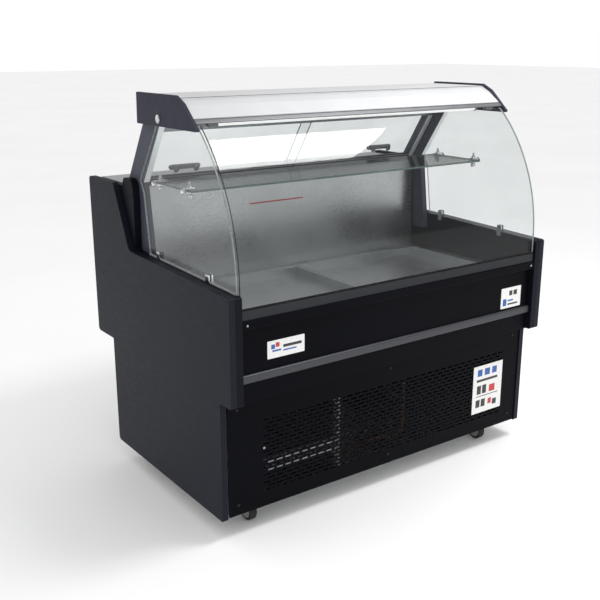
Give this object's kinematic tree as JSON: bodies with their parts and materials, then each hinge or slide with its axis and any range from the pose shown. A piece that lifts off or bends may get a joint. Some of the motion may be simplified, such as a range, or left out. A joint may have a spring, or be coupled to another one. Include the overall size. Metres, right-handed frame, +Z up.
{
  "type": "refrigerated deli case",
  "caption": "Free-standing refrigerated deli display case with tilting curved front glass, glass shelf, canopy, sliding rear doors, insulated tub and condensing unit on casters.",
  "frame": {"origin": "on the floor, under the middle of the case's box", "axes": "+X towards the case's right end as seen by a customer in front, +Y from the front towards the rear doors, +Z up"},
  "size_m": [1.219, 0.851, 1.219],
  "materials": {
    "black_panel": "satin",
    "black_liner": "semi-gloss",
    "black_paint": "satin",
    "post_grey": "satin",
    "galvanised": "matt",
    "foam": "matt",
    "stainless": "brushed",
    "strip_alu": "satin",
    "shoe_dark": "anodised",
    "canopy_alu": "satin",
    "lip_grey": "satin",
    "cap_plastic": "satin",
    "chrome": "polished",
    "lamp": "frosted",
    "glass": "clear",
    "grip_grey": "satin",
    "coil_fins": "fine ribbed",
    "fan_plastic": "satin",
    "fan_alu": "rolled",
    "compressor_black": "gloss",
    "shroud_black": "satin",
    "copper": "bright",
    "black_switch": "gloss",
    "tyre_rubber": "matt"
  },
  "bodies": {
    "case": {"left_end_panel": "black_panel", "right_end_panel": "black_panel", "left_cheek_liner": "black_liner", "right_cheek_liner": "black_liner", "left_post": "post_grey", "right_post": "post_grey", "base_frame": "galvanised", "front_grille": "black_paint", "rear_grille": "black_paint", "tank_insulation": "foam", "tank_liner": "stainless", "lower_fascia": "black_paint", "bumper_strip": "strip_alu", "upper_fascia": "black_paint", "front_rail": "black_paint", "rear_wall": "stainless", "rear_body_panel": "black_paint", "worktop": "stainless", "canopy_shell": "canopy_alu", "canopy_lip": "lip_grey", "canopy_underside": "canopy_alu", "left_end_cap": "cap_plastic", "right_end_cap": "cap_plastic", "end_cap_plugs": "chrome", "lamp_diffuser": "lamp", "left_side_glass": "glass", "right_side_glass": "glass", "side_glass_clips": "chrome", "glass_shelf": "glass", "shelf_clamps": "chrome", "door_tracks": "strip_alu", "deck_supports": "stainless", "evaporator_coil": "coil_fins", "evaporator_fan_panel": "stainless", "compressor": "compressor_black", "condenser_coil": "coil_fins", "condenser_shroud": "shroud_black", "refrigerant_pipes": "copper", "control_panel": "cap_plastic", "power_inlet": "fan_plastic"},
    "front_glass": {"front_glass": "glass", "glass_shoe": "shoe_dark"},
    "left_door": {"left_door": "glass", "left_door_handle": "grip_grey"},
    "right_door": {"right_door": "glass", "right_door_handle": "grip_grey"},
    "left_deck_pan": {"left_deck_pan": "stainless"},
    "right_deck_pan": {"right_deck_pan": "stainless"},
    "evaporator_fan": {"evaporator_fan": "fan_plastic"},
    "condenser_fan": {"condenser_fan": "fan_alu"},
    "light_switch": {"light_switch": "black_switch"},
    "temperature_button": {"temperature_button": "grip_grey"},
    "front_left_fork": {"front_left_fork": "chrome"},
    "front_left_wheel": {"front_left_wheel": "tyre_rubber"},
    "front_right_fork": {"front_right_fork": "chrome"},
    "front_right_wheel": {"front_right_wheel": "tyre_rubber"},
    "rear_left_fork": {"rear_left_fork": "chrome"},
    "rear_left_wheel": {"rear_left_wheel": "tyre_rubber"},
    "rear_right_fork": {"rear_right_fork": "chrome"},
    "rear_right_wheel": {"rear_right_wheel": "tyre_rubber"}
  },
  "joints": [
    {"name": "front_glass_tilt", "type": "hinge", "parent": "case", "child": "front_glass", "pos_m": [0, -0.412, 0.66], "axis": [1, 0, 0], "range_deg": [0, 30]},
    {"name": "left_door_slide", "type": "slide", "parent": "case", "child": "left_door", "axis": [1, 0, 0], "range_m": [0, 0.32]},
    {"name": "right_door_slide", "type": "slide", "parent": "case", "child": "right_door", "axis": [1, 0, 0], "range_m": [-0.32, 0]},
    {"name": "left_pan_lift", "type": "slide", "parent": "case", "child": "left_deck_pan", "axis": [0, 0, 1], "range_m": [0, 0.1]},
    {"name": "right_pan_lift", "type": "slide", "parent": "case", "child": "right_deck_pan", "axis": [0, 0, 1], "range_m": [0, 0.1]},
    {"name": "evaporator_fan_spin", "type": "hinge", "parent": "case", "child": "evaporator_fan", "pos_m": [0, -0.16, 0.532], "axis": [0, 1, 0], "continuous": true},
    {"name": "condenser_fan_spin", "type": "hinge", "parent": "case", "child": "condenser_fan", "pos_m": [-0.337, -0.282, 0.229], "axis": [0, 1, 0], "continuous": true},
    {"name": "light_switch_rock", "type": "hinge", "parent": "case", "child": "light_switch", "pos_m": [0.39, 0.4185, 0.85], "axis": [1, 0, 0], "range_deg": [-10, 0]},
    {"name": "temperature_button_press", "type": "slide", "parent": "case", "child": "temperature_button", "axis": [0, -1, 0], "range_m": [0, 0.0015], "stiffness_N_per_m": 300},
    {"name": "front_left_swivel", "type": "hinge", "parent": "case", "child": "front_left_fork", "pos_m": [-0.48, -0.27, 0.074], "axis": [0, 0, 1], "continuous": true},
    {"name": "front_left_roll", "type": "hinge", "parent": "front_left_fork", "child": "front_left_wheel", "pos_m": [-0.48, -0.294, 0.0315], "axis": [1, 0, 0], "continuous": true},
    {"name": "front_right_swivel", "type": "hinge", "parent": "case", "child": "front_right_fork", "pos_m": [0.48, -0.27, 0.074], "axis": [0, 0, 1], "continuous": true},
    {"name": "front_right_roll", "type": "hinge", "parent": "front_right_fork", "child": "front_right_wheel", "pos_m": [0.48, -0.294, 0.0315], "axis": [1, 0, 0], "continuous": true},
    {"name": "rear_left_swivel", "type": "hinge", "parent": "case", "child": "rear_left_fork", "pos_m": [-0.48, 0.235, 0.074], "axis": [0, 0, 1], "continuous": true},
    {"name": "rear_left_roll", "type": "hinge", "parent": "rear_left_fork", "child": "rear_left_wheel", "pos_m": [-0.48, 0.211, 0.0315], "axis": [1, 0, 0], "continuous": true},
    {"name": "rear_right_swivel", "type": "hinge", "parent": "case", "child": "rear_right_fork", "pos_m": [0.48, 0.235, 0.074], "axis": [0, 0, 1], "continuous": true},
    {"name": "rear_right_roll", "type": "hinge", "parent": "rear_right_fork", "child": "rear_right_wheel", "pos_m": [0.48, 0.211, 0.0315], "axis": [1, 0, 0], "continuous": true}
  ]
}
